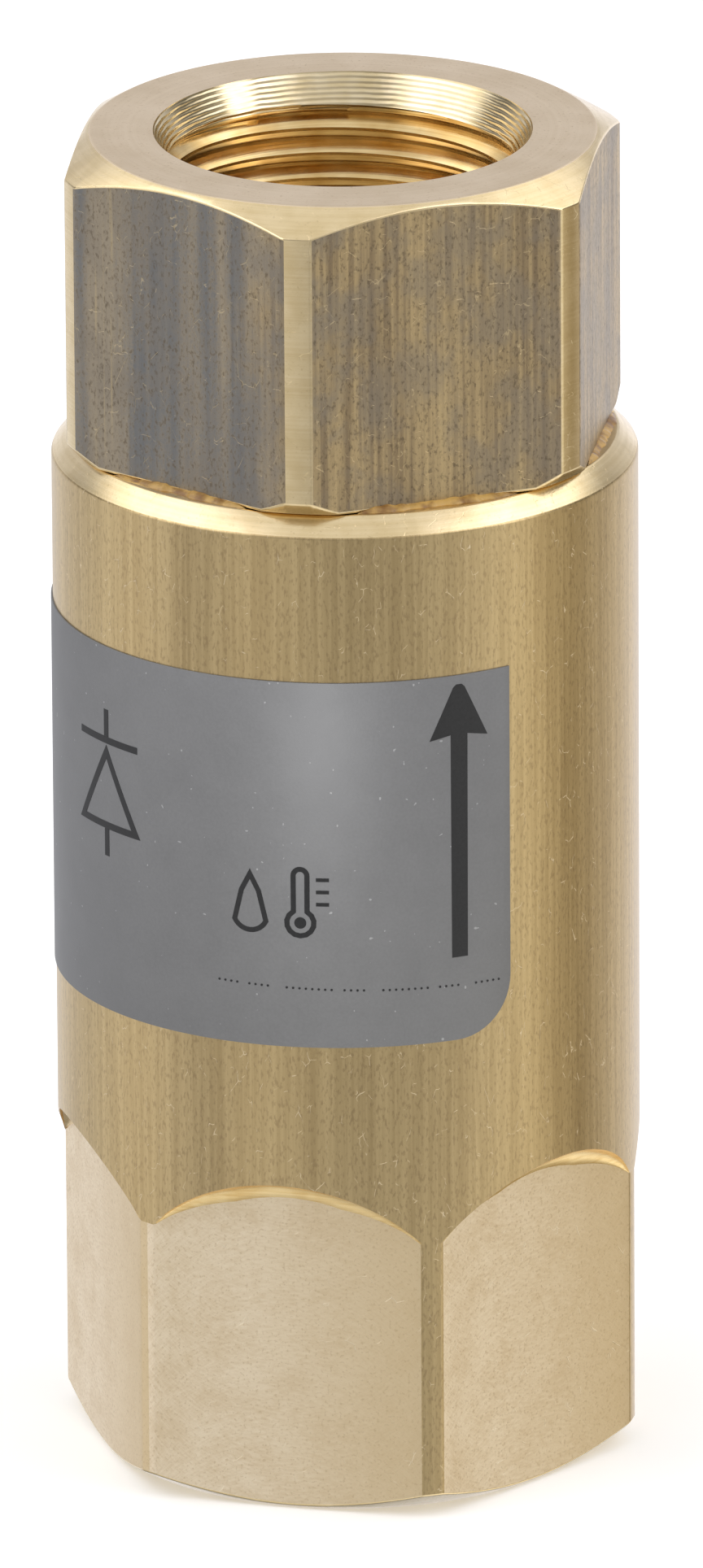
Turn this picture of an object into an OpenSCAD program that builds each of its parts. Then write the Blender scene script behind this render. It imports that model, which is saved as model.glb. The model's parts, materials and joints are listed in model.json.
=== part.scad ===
// In-line check valve: a round body with milled wrench flats, and a hexagonal
// outlet cap screwed into it. A spring closes a guided poppet on its seat.
// The valve stands on its inlet end. +Z is the direction of flow.

/* [Body] */
// Diameter of the round body
body_d = 40.8; // [40.8:0.1:42]
// Length of the body, from the inlet face to the shoulder under the cap
body_len = 73.7; // [73.7:0.1:76]
// Chamfer round the top shoulder
body_chamfer = 1.35; // [0.8:0.05:1.6]

/* [Wrench flats] */
// Distance across the flats, the same on the body and on the cap
across_flats = 36; // [35.8:0.1:36.4]
// Radius of the round end that the milling cutter leaves
cutter_r = 12.7; // [12:0.1:14]
// Height of the highest point of each milled flat
flat_top = 24.7; // [20:0.1:28]

/* [Ports] */
// Inner diameter of the threaded ports, at the thread crests
port_d = 23.4; // [23:0.1:23.8]
// Depth of each threaded port
port_depth = 17; // [15:0.5:17]
// Diameter of the bevel at the mouth of each port
mouth_d = 26.3; // [25.5:0.1:26.8]
// Depth of that bevel
mouth_depth = 1.8; // [1:0.1:2.4]
// Diameter of the passage behind the inlet port, and of the seat
seat_d = 18; // [17:0.5:18]
// Diameter of the passage through the cap
outlet_d = 21; // [20:0.5:21.5]

/* [Outlet cap] */
// Height of the hexagon above the body
hex_len = 21.75; // [20.5:0.25:24]
// Diameter to which the hexagon's corners are turned down
hex_corner_d = 40.5; // [39.6:0.1:40.7]
// Angle of one corner of the hexagon from the body's front flat
hex_clock = 4.4; // [-30:0.1:30]
// Diameter of the cap's male thread
cap_thread_d = 33; // [32.6:0.1:33.4]

/* [Label] */
// Height of the label
label_h = 26.7; // [20:0.1:28]
// Height of the label's lower edge above the inlet face
label_z = 35.2; // [30:0.1:38]
// Angle that the label covers
label_arc = 163; // [120:1:200]
// Angle of the label's right end from the body's front flat
label_end = 47; // [20:1:90]
// Thickness of the label
label_t = 0.12; // [0.08:0.01:0.2]

/* [Poppet and spring] */
// How far the poppet lifts
lift = 5; // [4:0.5:5]
// Diameter of the poppet's head
poppet_d = 23.2; // [22.6:0.1:24]
// Diameter of the poppet's stem
stem_d = 7; // [6:0.5:7]
// Wire diameter of the spring
wire_d = 1; // [0.8:0.1:1.1]
// Mean diameter of the spring
coil_d = 13.6; // [13.4:0.1:14]
// Number of free turns between the two closed end turns
active_turns = 4; // [3:1:4]

/* [Hidden] */
$fn = 96;

// Shared fits: small gaps that keep neighbouring solids apart
fit_gap = 0.05;
stem_gap = 0.05;
over = 1;               // how far a cutting tool runs past the metal
nut_face_r = 17.5;      // radius at which the crowned edge starts on both end faces
crown_r = 38;           // radius of that crown, which slopes 30 degrees at the corners
under_crown_r = 28;     // radius of the crowned edge under the cap's hexagon, 45 degrees

body_r = body_d / 2;
flat_r = across_flats / 2;
port_r = port_d / 2;
mouth_r = mouth_d / 2;
seat_r = seat_d / 2;
outlet_r = outlet_d / 2;
hex_corner_r = hex_corner_d / 2;
hex_r = flat_r / cos(30);

// Inside of the body
passage_top = 27;                   // floor of the chamber
chamber_r = 15;
chamber_top = 61;
cap_bore_r = cap_thread_d / 2 + fit_gap;

// Seat ring, and the sleeve that holds it down
seat_h = 6;
lip_h = 1;
lip_w = 1.4;
ring_r = chamber_r - fit_gap;
seat_top = passage_top + seat_h;
lip_top = seat_top + lip_h;
groove_r = 13;
seat_groove_z = passage_top + 1.4;
seat_groove_h = 3.2;
sleeve_t = 0.95;

// Guide spider and its bush
guide_z = 52;
guide_h = 3;
guide_rim_w = 2.7;
guide_hub_r = 6;
guide_hub_h = 8;
leg_count = 3;
leg_w = 3;
bush_r = stem_d / 2 + 1.4;
bush_flange_r = bush_r + 0.9;
bush_flange_h = 0.8;

// Outlet cap below its hexagon
cap_z = body_len + fit_gap;
cap_top = cap_z + hex_len;
nose_z = guide_z + guide_h;
nose_groove_z = nose_z + 1.5;
nose_groove_h = 3.8;
nose_groove_r = 12.9;
cap_thread_z = 62;
cap_thread_top = body_len - 2;
relief_r = cap_thread_d / 2 - 0.9;
thread_bevel = 0.8;
under_bevel = 0.85;

// Poppet stack, from its sealing ring upwards
seal_gap = 0.05;                    // left between the sealing ring and the closed seat
seal_h = 2.15;
seal_z = lip_top + seal_gap;
seal_in_r = 7.2;
seal_out_r = poppet_d / 2 - 0.6;
rim_z = seal_z + 0.3;
head_floor = seal_z + seal_h;
head_top = lip_top + 4.5;
boss_r = 6;
boss_h = 1.5;
shoulder_r = 5;
shoulder_z = guide_z - lift - fit_gap;
stem_top = guide_z + 10;
retainer_r = seat_r - 0.5;
retainer_t = 1.45;
retainer_z = seal_z - retainer_t;
washer_t = 0.8;
washer_z = retainer_z - washer_t;
washer_r = 3.6;
screw_r = 1.95;
screw_head_r = 3.5;
screw_head_h = 2.5;
screw_len = 12;
socket_af = 3;
screw_hole_r = 2;

// Spring between the poppet's head and the washer under the guide
spring_washer_t = 0.7;
spring_washer_r = 8;
spring_lo = head_top + 0.02;
spring_hi = guide_z - spring_washer_t - 0.02;
wire_sides = 8;
turn_steps = 24;
closed_pitch = wire_d * 1.05;
turns = active_turns + 2;
free_pitch = (spring_hi - spring_lo - wire_d - 2 * closed_pitch) / active_turns;

// A ring of rectangular section
module ring(r_out, r_in, z, h) {
    translate([0, 0, z])
        difference() {
            cylinder(h = h, r = r_out);
            translate([0, 0, -over])
                cylinder(h = h + 2 * over, r = r_in);
        }
}

// A ring of round section
module round_ring(mean_r, section_r, z) {
    translate([0, 0, z])
        rotate_extrude()
            translate([mean_r, 0])
                circle(r = section_r, $fn = 32);
}

// The bore of a port that opens downwards at z = 0, with its drilled end
module port_bore() {
    drill_h = (port_r - seat_r) * tan(31);
    rotate_extrude()
        polygon([[0, -over], [mouth_r, -over], [mouth_r, 0], [port_r, mouth_depth],
            [port_r, port_depth], [seat_r, port_depth + drill_h], [0, port_depth + drill_h]]);
}

// What the lathe takes off a hexagonal end at z = 0 to crown its corners
module crown_cut(face_r, sphere_r) {
    difference() {
        translate([0, 0, -over])
            cylinder(h = 4 * over, r = body_r + over);
        translate([0, 0, sqrt(sphere_r * sphere_r - face_r * face_r)])
            sphere(r = sphere_r, $fn = 180);
    }
}

// One milled wrench flat on the side that faces -Y: a straight run with a round end
module flat_cut() {
    mill_z = flat_top - cutter_r;
    translate([0, -flat_r, mill_z])
        rotate([90, 0, 0])
            cylinder(h = body_r, r = cutter_r);
    translate([-cutter_r, -flat_r - body_r, -over])
        cube([2 * cutter_r, body_r, mill_z + over]);
}

module body() {
    color("peru")
        difference() {
            rotate_extrude()
                polygon([[0, 0], [body_r, 0], [body_r, body_len - body_chamfer],
                    [body_r - body_chamfer, body_len], [0, body_len]]);
            crown_cut(nut_face_r, crown_r);
            for (side = [0:5])
                rotate([0, 0, 60 * side])
                    flat_cut();
            port_bore();
            translate([0, 0, port_depth])
                cylinder(h = passage_top - port_depth + over, r = seat_r);
            translate([0, 0, passage_top])
                cylinder(h = chamber_top - passage_top + over, r = chamber_r);
            translate([0, 0, chamber_top])
                cylinder(h = body_len - chamber_top + over, r = cap_bore_r);
        }
}

module outlet_cap() {
    color("goldenrod")
        difference() {
            union() {
                translate([0, 0, cap_z])
                    intersection() {
                        rotate([0, 0, hex_clock - 90])
                            cylinder(h = hex_len, r = hex_r, $fn = 6);
                        cylinder(h = hex_len, r = hex_corner_r);
                    }
                rotate_extrude()
                    polygon([[0, nose_z], [ring_r, nose_z], [ring_r, chamber_top],
                        [cap_thread_d / 2 - thread_bevel, chamber_top + fit_gap],
                        [cap_thread_d / 2, cap_thread_z], [cap_thread_d / 2, cap_thread_top],
                        [relief_r, cap_thread_top + thread_bevel], [relief_r, cap_z + over],
                        [0, cap_z + over]]);
            }
            translate([0, 0, cap_z])
                crown_cut(hex_corner_r - under_bevel, under_crown_r);
            translate([0, 0, cap_top])
                mirror([0, 0, 1]) {
                    crown_cut(nut_face_r, crown_r);
                    port_bore();
                }
            translate([0, 0, nose_z - over])
                cylinder(h = cap_top - nose_z, r = outlet_r);
            ring(ring_r + over, nose_groove_r, nose_groove_z, nose_groove_h);
        }
}

// Film of set sealant between the body and the cap's hexagon, squeezed out past its flats
module thread_sealant() {
    film_r = body_r - body_chamfer - 0.35;
    color("darkgoldenrod")
        ring(film_r, cap_bore_r, body_len, fit_gap);
}

module label() {
    color("dimgray")
        translate([0, 0, label_z])
            rotate([0, 0, label_end - label_arc - 90])
                rotate_extrude(angle = label_arc)
                    translate([body_r, 0])
                        square([label_t, label_h]);
}

module cap_o_ring() {
    color("black")
        round_ring(13.95, 1.02, nose_groove_z + 1.3);
}

module cap_backup_ring() {
    color("ivory")
        ring(ring_r, nose_groove_r + fit_gap, nose_groove_z + 2.45, 1.3);
}

module seat_ring() {
    color("silver")
        difference() {
            union() {
                ring(ring_r, seat_r, passage_top, seat_h);
                ring(seat_r + lip_w, seat_r, seat_top - fit_gap, lip_h + fit_gap);
            }
            ring(ring_r + over, groove_r, seat_groove_z, seat_groove_h);
        }
}

module seat_o_ring() {
    color("black")
        round_ring(14, 0.94, seat_groove_z + 1.1);
}

module seat_backup_ring() {
    color("ivory")
        ring(ring_r - 0.02, groove_r + fit_gap, seat_groove_z + 2.2, 0.9);
}

module spacer_sleeve() {
    color("lightgray")
        ring(ring_r, ring_r - sleeve_t, seat_top, guide_z - seat_top);
}

module stem_guide() {
    color("gainsboro")
        difference() {
            union() {
                ring(ring_r, ring_r - guide_rim_w, guide_z, guide_h);
                translate([0, 0, guide_z])
                    cylinder(h = guide_hub_h, r = guide_hub_r);
                for (leg = [0:leg_count - 1])
                    rotate([0, 0, 90 + 360 / leg_count * leg])
                        translate([0, -leg_w / 2, guide_z])
                            cube([ring_r - guide_rim_w / 2, leg_w, guide_h]);
            }
            translate([0, 0, guide_z - over])
                cylinder(h = guide_hub_h + 2 * over, r = bush_r);
        }
}

module guide_bush() {
    color("burlywood")
        difference() {
            union() {
                translate([0, 0, guide_z])
                    cylinder(h = guide_hub_h, r = bush_r);
                translate([0, 0, guide_z + guide_hub_h])
                    cylinder(h = bush_flange_h, r = bush_flange_r);
            }
            translate([0, 0, guide_z - over])
                cylinder(h = guide_hub_h + bush_flange_h + 2 * over, r = stem_d / 2 + stem_gap);
        }
}

module spring_washer() {
    color("silver")
        ring(spring_washer_r, shoulder_r + 0.3, guide_z - spring_washer_t, spring_washer_t);
}

// Height of the wire's centre after t turns: closed, free, then closed again
function coil_z(t) =
    spring_lo + wire_d / 2
    + closed_pitch * min(t, 1)
    + free_pitch * max(0, min(t - 1, active_turns))
    + closed_pitch * max(0, t - 1 - active_turns);

module spring() {
    rings = turns * turn_steps;
    points = [for (i = [0:rings], s = [0:wire_sides - 1])
        let (t = i / turn_steps, a = 360 * t, w = 360 * s / wire_sides,
            r = coil_d / 2 + wire_d / 2 * cos(w))
        [r * cos(a), r * sin(a), coil_z(t) + wire_d / 2 * sin(w)]];
    start_cap = [[for (s = [0:wire_sides - 1]) s]];
    end_cap = [[for (s = [0:wire_sides - 1]) rings * wire_sides + wire_sides - 1 - s]];
    sides = [for (i = [0:rings - 1], s = [0:wire_sides - 1])
        let (n = (s + 1) % wire_sides)
        [i * wire_sides + s, (i + 1) * wire_sides + s, (i + 1) * wire_sides + n, i * wire_sides + n]];
    color("lightsteelblue")
        polyhedron(points = points, faces = concat(start_cap, sides, end_cap));
}

module poppet() {
    edge = 0.6;
    color("darkkhaki")
        difference() {
            rotate_extrude()
                polygon([[0, rim_z], [poppet_d / 2, rim_z], [poppet_d / 2, head_top - edge],
                    [poppet_d / 2 - edge, head_top], [boss_r, head_top],
                    [boss_r, head_top + boss_h - 0.3], [boss_r - 0.3, head_top + boss_h],
                    [shoulder_r, head_top + boss_h], [shoulder_r, shoulder_z],
                    [stem_d / 2, shoulder_z], [stem_d / 2, stem_top - edge],
                    [stem_d / 2 - edge, stem_top], [0, stem_top]]);
            translate([0, 0, rim_z - over])
                cylinder(h = head_floor - rim_z + over, r = seal_out_r + fit_gap);
            translate([0, 0, head_floor - over])
                cylinder(h = screw_len - retainer_t - seal_h - washer_t + 2 * over, r = screw_hole_r);
        }
}

module poppet_seal() {
    color("dimgray")
        ring(seal_out_r, seal_in_r, seal_z, seal_h);
}

module seal_retainer() {
    color("silver")
        difference() {
            union() {
                translate([0, 0, retainer_z])
                    cylinder(h = retainer_t, r = retainer_r);
                translate([0, 0, seal_z - fit_gap])
                    cylinder(h = seal_h + fit_gap, r = seal_in_r - fit_gap);
            }
            translate([0, 0, retainer_z - over])
                cylinder(h = retainer_t + seal_h + 2 * over, r = screw_hole_r + 0.1);
        }
}

module lock_washer() {
    color("silver")
        ring(washer_r, screw_hole_r + 0.1, washer_z, washer_t);
}

module retainer_screw() {
    color("silver")
        difference() {
            union() {
                translate([0, 0, washer_z - screw_head_h])
                    cylinder(h = screw_head_h, r = screw_head_r);
                translate([0, 0, washer_z - fit_gap])
                    cylinder(h = screw_len + fit_gap, r = screw_r);
            }
            translate([0, 0, washer_z - screw_head_h - over])
                cylinder(h = over + 1.6, r = socket_af / 2 / cos(30), $fn = 6);
        }
}

body();
outlet_cap();
thread_sealant();
label();
cap_o_ring();
cap_backup_ring();
seat_ring();
seat_o_ring();
seat_backup_ring();
spacer_sleeve();
stem_guide();
guide_bush();
spring_washer();
spring();
poppet();
poppet_seal();
seal_retainer();
lock_washer();
retainer_screw();
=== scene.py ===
import json
import math

import bmesh
import bpy
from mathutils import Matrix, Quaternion, Vector, noise


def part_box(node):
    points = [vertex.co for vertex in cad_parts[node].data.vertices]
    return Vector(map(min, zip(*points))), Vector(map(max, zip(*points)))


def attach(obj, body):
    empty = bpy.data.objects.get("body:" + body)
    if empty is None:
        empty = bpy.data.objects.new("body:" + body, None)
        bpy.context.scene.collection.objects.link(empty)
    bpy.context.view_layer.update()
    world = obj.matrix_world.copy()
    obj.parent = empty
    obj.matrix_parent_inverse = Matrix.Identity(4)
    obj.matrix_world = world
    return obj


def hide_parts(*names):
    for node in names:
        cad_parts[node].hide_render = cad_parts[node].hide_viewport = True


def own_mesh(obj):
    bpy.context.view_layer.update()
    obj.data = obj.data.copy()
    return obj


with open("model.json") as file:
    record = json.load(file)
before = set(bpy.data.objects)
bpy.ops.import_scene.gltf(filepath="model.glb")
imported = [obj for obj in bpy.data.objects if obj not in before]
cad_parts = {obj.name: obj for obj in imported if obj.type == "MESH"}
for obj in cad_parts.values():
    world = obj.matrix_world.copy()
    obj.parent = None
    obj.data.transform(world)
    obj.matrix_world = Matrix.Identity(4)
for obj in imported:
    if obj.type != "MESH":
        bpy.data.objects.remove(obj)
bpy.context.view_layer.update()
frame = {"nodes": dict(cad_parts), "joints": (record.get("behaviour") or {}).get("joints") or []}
nodes = frame["nodes"]
MM = 0.001


# ---- Body -----------------------------------------------------------------------------
# A length of drawn brass bar. It is bored and threaded from both ends, bevelled at the
# shoulder, and six wrench flats are milled at its inlet end with the side of an end mill.

FLAT_R = 18 * MM                        # from the axis to each wrench flat, on body and cap
NUT_SLOPE = math.tan(math.radians(30))  # slope of the turned chamfers on both ends
NUT_FACE_R = 17.5 * MM                  # where those chamfers start on the end faces
CUTTER_R = 12.7 * MM
CUTTER_NOSE = 1.6 * MM                  # radius of the cutter's corner
FLAT_TOP = 24.7 * MM
PASSAGE_TOP = 27 * MM
CHAMBER_R = 15 * MM
CHAMBER_TOP = 61 * MM
SEAT_R = 9 * MM
EDGE = 0.12 * MM                        # how far a deburred edge is broken

_, body_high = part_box("body")
BODY_R = body_high.x
BODY_TOP = body_high.z

# The pipe threads in both ports
PORT_DEPTH = 17 * MM
MOUTH_R = 13.15 * MM
MOUTH_DEPTH = 2.3 * MM
PIPE_PITCH = 25.4 / 14 * MM
PIPE_CUT = 0.78 * MM                    # shallower than the standard's 1.16 mm
PIPE_TAPER = 1 / 32                     # on the radius, so 1 in 16 on the diameter
RUN_OUT = 1.2 * MM                      # plain length past the last turn of a thread
PIPE_MOUTH_CREST = 11.95 * MM
RIDGE_PITCH = 0.34                      # in millimetres, down the bevel
PORT_END_R = PIPE_MOUTH_CREST - PIPE_TAPER * PORT_DEPTH
DRILL_SLOPE = math.tan(math.radians(31))

# The straight thread between body and cap
CAP_THREAD_R = 16.5 * MM
CAP_PITCH = 1.5 * MM
CAP_CUT = 0.85 * MM
CAP_THREAD_LOW = 61.6 * MM
THREAD_GAP = 0.05 * MM

# One turn of a 60 degree thread: where it is along the pitch, and how deep it is cut
THREAD_FORM = ((-0.06, 0), (0.06, 0), (0.25, 0.5), (0.44, 1), (0.56, 1), (0.75, 0.5))


def eased(outline, ease=EDGE):
    """The outline with each corner replaced by two points, as a broken edge."""
    out = [outline[0]]
    for before, corner, after in zip(outline, outline[1:], outline[2:]):
        for end in (before, after):
            length = math.dist(corner, end)
            share = min(ease, 0.4 * length) / length if length > 1e-9 else 0
            out.append((corner[0] + (end[0] - corner[0]) * share,
                        corner[1] + (end[1] - corner[1]) * share))
    out.append(outline[-1])
    return out


def cut_depth(phase):
    """How deep a thread is cut at a place along its pitch, from 0 at the crest to 1."""
    phase = (phase + 0.06) % 1 - 0.06
    form = THREAD_FORM + ((0.94, 0),)
    for (a, depth_a), (b, depth_b) in zip(form, form[1:]):
        if phase <= b:
            return depth_a + (depth_b - depth_a) * (phase - a) / (b - a)
    return 0


def thread_heights(turn, low, high, pitch):
    """Heights of the thread form's own points at one bearing, all kept between low and high."""
    first = math.floor(low / pitch) - 2
    last = math.ceil(high / pitch) + 2
    heights = []
    for lap in range(first, last):
        for place, _ in THREAD_FORM:
            heights.append(min(high, max(low, (lap + place + turn) * pitch)))
    return heights


def port(turn, mouth_z, inward):
    """The threaded port's (radius, height) at one bearing, as its mouth and the rest, in the
    outline's own order. inward is 1 where the port runs up from its mouth and -1 where it runs down."""
    ends = sorted((mouth_z, mouth_z + inward * PORT_DEPTH))
    points = []
    for z in thread_heights(turn, *ends, PIPE_PITCH):
        depth = abs(z - mouth_z)
        run_out = min(1, max(0, (PORT_DEPTH - RUN_OUT - depth) / (2 * PIPE_PITCH)))
        run_in = min(1, max(0, (depth - 0.7 * MOUTH_DEPTH) / (0.5 * MOUTH_DEPTH)))
        crest = PIPE_MOUTH_CREST - PIPE_TAPER * depth
        thread = crest + PIPE_CUT * run_in * run_out * cut_depth(z / PIPE_PITCH - turn)
        points.append((max(thread, bevel_radius(depth)), z, depth))
    points = points[::-1]
    share = sum(depth < MOUTH_DEPTH for _, _, depth in points)
    points = [(r, z) for r, z, _ in points]
    if inward < 0:
        return points[:share], points[share:]
    return points[-share:], points[:-share]


def bevel_radius(depth):
    """Radius of the mouth's bevel at a depth."""
    return MOUTH_R - depth * (MOUTH_R - PIPE_MOUTH_CREST) / MOUTH_DEPTH


def bearings(edge, clock=0.0):
    """Bearings round the axis, in degrees from a flat's middle, with a pair at each flat's edge.
    The last is the first again, a whole turn on."""
    soft = 0.35
    half = [0, 2, 4, 6, 8, 10, 12, 14, 16, 18, 20, 22, 24, 25.4, edge - soft, edge + soft]
    one_side = [-30] + [-b for b in half[:0:-1]] + half
    return [clock + 60 * side + b for side in range(6) for b in one_side] + [clock + 330]


def swept(name, clock, edge, column, finish_of, materials):
    """A closed skin through one outline per bearing. column gives (tag, points) runs, and
    finish_of says which material a run takes at a bearing."""
    skin = bmesh.new()
    turns = bearings(edge, clock)
    rows = []
    for bearing in turns:
        angle = math.radians(bearing)
        row = []
        for tag, points in column(bearing):
            for r, z in points:
                row.append((tag, skin.verts.new((r * math.sin(angle), -r * math.cos(angle), z))))
        rows.append(row)
    for left, right, a, b in zip(rows, rows[1:], turns, turns[1:]):
        for i in range(len(left)):
            n = (i + 1) % len(left)
            face = skin.faces.new((left[i][1], right[i][1], right[n][1], left[n][1]))
            face.material_index = finish_of(left[i][0], (a + b) / 2 - clock)
    bmesh.ops.remove_doubles(skin, verts=skin.verts, dist=2e-6)
    bmesh.ops.dissolve_degenerate(skin, edges=skin.edges, dist=1e-6)
    bmesh.ops.recalc_face_normals(skin, faces=skin.faces)
    piece = finished(name, skin, materials)
    # long turned faces stay straight, and only the broken edges between them shade round
    weighted = piece.modifiers.new("shading", "WEIGHTED_NORMAL")
    weighted.mode = "FACE_AREA"
    weighted.weight = 100
    weighted.keep_sharp = True
    return piece


def finished(name, skin, materials, crease=35):
    """Writes the skin to an object, smooth except where it turns by more than crease degrees."""
    for face in skin.faces:
        face.smooth = True
    for line in skin.edges:
        line.smooth = len(line.link_faces) == 2 and line.calc_face_angle(0) < math.radians(crease)
    mesh = bpy.data.meshes.new(name)
    skin.to_mesh(mesh)
    skin.free()
    for material in materials:
        mesh.materials.append(material)
    piece = bpy.data.objects.new(name, mesh)
    bpy.context.scene.collection.objects.link(piece)
    return piece


class Sock:
    """A shader node's output. Arithmetic on it adds Math nodes, and add() puts in any other."""

    def __init__(self, tree, socket=None):
        self.tree = tree
        self.socket = socket

    def add(self, kind, settings, values, out=0):
        """A node of that kind: settings first, then each socket's value or link."""
        node = self.tree.nodes.new("ShaderNode" + kind)
        for name, value in settings.items():
            if name == "stops":
                ramp = node.color_ramp
                while len(ramp.elements) < len(value):
                    ramp.elements.new(1)
                for stop, (place, colour) in zip(ramp.elements, value):
                    stop.position = place
                    stop.color = (*colour, 1)
            else:
                setattr(node, name, value)
        for name, value in values.items():
            if isinstance(value, Sock):
                self.tree.links.new(value.socket, node.inputs[name])
            else:
                node.inputs[name].default_value = value
        return Sock(self.tree, node.outputs[out] if node.outputs else None)

    def math(self, operation, *values):
        return self.add("Math", {"operation": operation}, dict(enumerate(values)))

    def __add__(self, other):
        return self.math("ADD", self, other)

    __radd__ = __add__

    def __sub__(self, other):
        return self.math("SUBTRACT", self, other)

    def __rsub__(self, other):
        return self.math("SUBTRACT", other, self)

    def __mul__(self, other):
        return self.math("MULTIPLY", self, other)

    __rmul__ = __mul__

    def __truediv__(self, other):
        return self.math("DIVIDE", self, other)

    def __rtruediv__(self, other):
        return self.math("DIVIDE", other, self)


def mixed(share, one, two):
    """Two colours mixed by share. One of the three is a Sock."""
    start = next(v for v in (share, one, two) if isinstance(v, Sock))
    values = {0: share}
    for place, colour in ((6, one), (7, two)):
        values[place] = colour if isinstance(colour, Sock) else (*colour, 1)
    return start.add("Mix", {"data_type": "RGBA", "blend_type": "MIX"}, values, out=2)


def between(value, low, high):
    """value taken from low..high to 0..1, held at both ends, with soft shoulders."""
    return value.add("MapRange", {"interpolation_type": "SMOOTHSTEP"},
                     {"Value": value, "From Min": low, "From Max": high})


def grain(start, x, y, z, detail=2.0, roughness=0.5):
    """Noise at a place whose three parts are already in cells of the noise."""
    place = start.add("CombineXYZ", {}, {0: x, 1: y, 2: z})
    return start.add("TexNoise", {}, {"Vector": place, "Scale": 1, "Detail": detail,
                                      "Roughness": roughness})


def parts(start):
    """x, y, z and the radius of the shaded point, in millimetres in the valve's own frame."""
    place = start.add("TexCoord", {}, {}, out="Object")
    x, y, z = (start.add("SeparateXYZ", {}, {0: place}, out=axis) / MM for axis in "XYZ")
    return x, y, z, start.math("SQRT", x * x + y * y)


def bumped(height, depth_mm):
    """A normal from a height in 0..1 that stands for depth_mm of metal."""
    return height.add("Bump", {}, {"Strength": 1.0, "Distance": depth_mm * MM, "Height": height})


def made_of(name, recipe):
    """A material whose Principled shader takes what the recipe gives."""
    material = bpy.data.materials.new(name)
    material.use_nodes = True
    material.node_tree.nodes.clear()
    start = Sock(material.node_tree)
    shader = start.add("BsdfPrincipled", {}, recipe(start))
    start.add("OutputMaterial", {}, {"Surface": shader})
    return material


def scratches(start, x, y, z, share):
    """Short thin lines at random slants, 1 on a scratch. share is how much of them shows."""
    bend = grain(start, x * 1.3, y * 1.3, z * 1.3) * 0.9
    place = start.add("CombineXYZ", {}, {0: x + bend, 1: y - bend, 2: z + bend})
    cells = start.add("TexVoronoi", {"feature": "DISTANCE_TO_EDGE"}, {"Vector": place, "Scale": 1})
    spots = between(grain(start, x * 1.7 + 5, y * 1.7, z * 1.7), 0.66 - 0.2 * share, 0.74 - 0.2 * share)
    return (1 - between(cells, 0.004, 0.016)) * spots


def drawn_brass(start):
    """Bar stock as drawn: fine streaks along the axis, grit, and a few handling scratches."""
    x, y, z, _ = parts(start)
    wide = grain(start, x * 0.55, y * 0.55, z * 0.012)
    fine = grain(start, x * 3.2, y * 3.2, z * 0.05, detail=3)
    grit = grain(start, x * 6, y * 6, z * 2.2, detail=3)
    marks = scratches(start, x * 0.8, y * 0.8, z * 0.5, 0.5)
    streak = wide * 0.35 + fine * 0.65
    colour = mixed(between(streak, 0.3, 0.7), (0.53, 0.39, 0.195), (0.69, 0.525, 0.275))
    colour = mixed(between(grit, 0.50, 0.68) * 0.5, colour, (0.36, 0.25, 0.13))
    colour = mixed(marks * 0.7, colour, (0.95, 0.80, 0.55))
    return {"Base Color": colour, "Metallic": 1.0, "Roughness": 0.25 + streak * 0.12 + marks * 0.15,
            "Normal": bumped(streak * 0.7 + grit * 0.3 - marks * 0.5, 0.010)}


def turned_brass(start):
    """An end face, faced off in the lathe: satin, with rings almost too fine to see."""
    x, y, z, radius = parts(start)
    rings = grain(start, radius * 5, z * 5, 0.5, detail=3)
    cloud = grain(start, x * 0.3, y * 0.3, z * 0.3)
    grit = grain(start, x * 5, y * 5, z * 5, detail=3)
    marks = scratches(start, x * 0.6, y * 0.6, z * 0.6, 0.2)
    colour = mixed(between(rings * 0.4 + cloud * 0.6, 0.3, 0.7), (0.78, 0.63, 0.44), (0.88, 0.73, 0.54))
    colour = mixed(between(grit, 0.6, 0.74) * 0.45, colour, (0.5, 0.36, 0.2))
    return {"Base Color": colour, "Metallic": 1.0, "Roughness": 0.34 + grit * 0.14,
            "Normal": bumped(rings * 0.4 + grit * 0.6 - marks, 0.012)}


def shaved_brass(start):
    """A chamfer or a corner taken down with a sharp form tool: bright and close to a mirror."""
    x, y, z, radius = parts(start)
    rings = grain(start, radius * 6, z * 6, 0.5, detail=2)
    cloud = grain(start, x * 0.5, y * 0.5, z * 0.5)
    grit = grain(start, x * 5, y * 5, z * 5, detail=3)
    marks = scratches(start, x * 0.6, y * 0.6, z * 0.6, 0.6)
    colour = mixed(between(rings * 0.4 + cloud * 0.6, 0.3, 0.7), (0.78, 0.61, 0.34), (0.90, 0.73, 0.45))
    colour = mixed(between(grit, 0.62, 0.74) * 0.35, colour, (0.5, 0.36, 0.18))
    return {"Base Color": colour, "Metallic": 1.0, "Roughness": 0.16 + grit * 0.12,
            "Normal": bumped(rings * 0.5 + grit * 0.5 - marks, 0.006)}


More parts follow.
